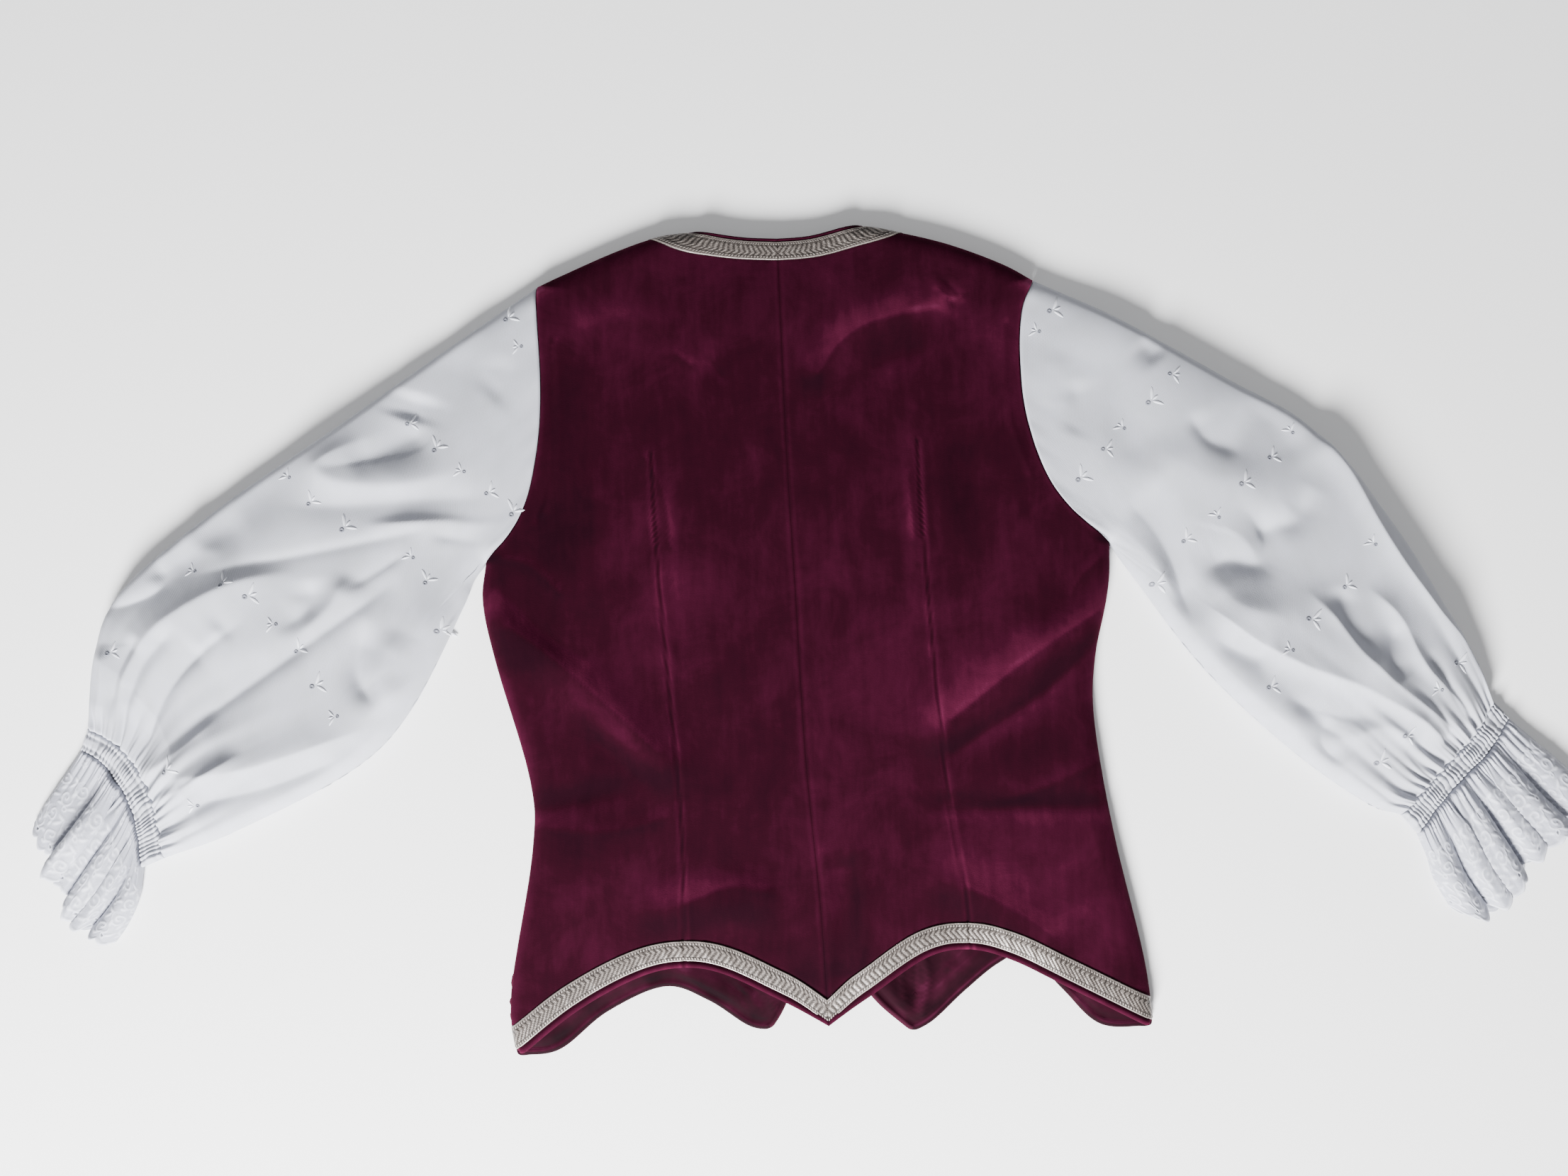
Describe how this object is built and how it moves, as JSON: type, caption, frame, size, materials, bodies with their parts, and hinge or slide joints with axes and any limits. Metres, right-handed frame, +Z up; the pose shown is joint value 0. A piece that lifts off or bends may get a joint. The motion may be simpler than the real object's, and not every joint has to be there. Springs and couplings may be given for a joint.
{
  "type": "velvet bodice with attached sleeves",
  "caption": "Wine velvet dance bodice laid flat with its back up, silver braid at neck and pointed hem, and white eyelet cotton sleeves gathered into frilled wrists.",
  "frame": {"origin": "middle of the laid garment's outline, on the surface that it lies on", "axes": "+Z up from that surface, +Y to the neck, +X to the right of the back as it is seen from above"},
  "size_m": [1.1356, 0.599, 0.0314],
  "materials": {
    "velvet": "short pile, soft sheen",
    "cotton": "plain weave with embroidered sprigs and eyelets, matt",
    "frill_cotton": "closely embroidered, scalloped edge",
    "braid": "flat woven metal thread braid, satin"
  },
  "bodies": {
    "root": {"back_left": "velvet", "back_right": "velvet", "front_left": "velvet", "front_right": "velvet", "neck_braid_left": "braid", "neck_braid_right": "braid", "hem_braid_left": "braid", "hem_braid_right": "braid", "front_braid_left": "braid", "front_braid_right": "braid", "sleeve_left": "cotton", "sleeve_right": "cotton", "wrist_band_left": "cotton", "wrist_band_right": "cotton", "frill_left": "frill_cotton", "frill_right": "frill_cotton"}
  },
  "joints": []
}
